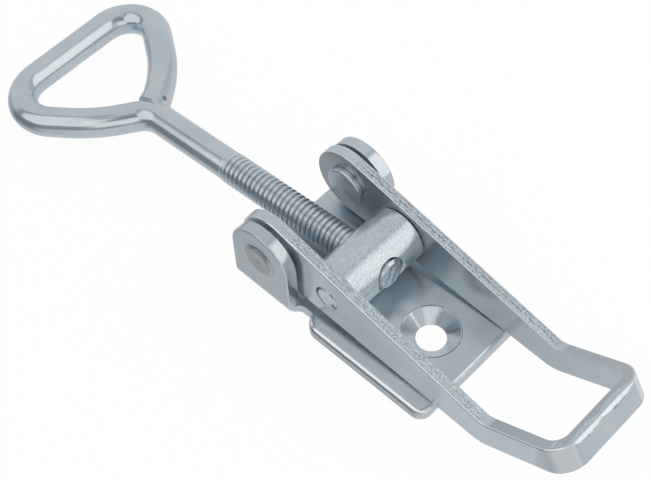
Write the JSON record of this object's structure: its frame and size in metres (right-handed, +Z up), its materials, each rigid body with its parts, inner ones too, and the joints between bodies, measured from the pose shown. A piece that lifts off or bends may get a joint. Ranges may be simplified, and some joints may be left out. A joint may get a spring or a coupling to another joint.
{
  "type": "adjustable toggle latch",
  "caption": "Adjustable toggle latch: a folded base with countersunk holes carries a bent strap lever, whose swivelling nut holds a threaded eye bolt with a closed triangular loop.",
  "frame": {"origin": "underside of the base, midway between the lever's pivot and the front fixing hole", "axes": "+X towards the handle's hand loop, -X towards the eye bolt's loop, +Z up off the mounting surface, Y along the lever's pivot"},
  "size_m": [0.1776, 0.0491, 0.0246],
  "materials": {
    "plated_sheet": "bright zinc plate over pressed sheet",
    "plated_strap": "bright zinc plate over sheared strap",
    "plated_rivet": "bright zinc plate",
    "plated_turned": "bright zinc plate over turned bar",
    "plated_rod": "bright zinc plate over drawn bar"
  },
  "bodies": {
    "base": {"base_bracket": "plated_sheet", "pivot_rivet_left": "plated_rivet", "pivot_rivet_right": "plated_rivet"},
    "lever": {"lever_handle": "plated_strap"},
    "trunnion": {"trunnion_nut": "plated_turned"},
    "bolt": {"eye_bolt": "plated_rod"}
  },
  "joints": [
    {"name": "lever_pivot", "type": "hinge", "parent": "base", "child": "lever", "pos_m": [-0.018, 0, 0.0154], "axis": [0, -1, 0], "range_deg": [0, 165]},
    {"name": "trunnion_swivel", "type": "hinge", "parent": "lever", "child": "trunnion", "pos_m": [-0.00105, 0, 0.0127], "axis": [0, 1, 0], "range_deg": [0, 165]},
    {"name": "bolt_turn", "type": "hinge", "parent": "trunnion", "child": "bolt", "pos_m": [-0.00105, 0, 0.0127], "axis": [0.9965, 0.0105, 0.0834], "continuous": true}
  ],
  "couplings": [
    {"joint": "trunnion_swivel", "follows": "lever_pivot", "ratio": 1}
  ]
}
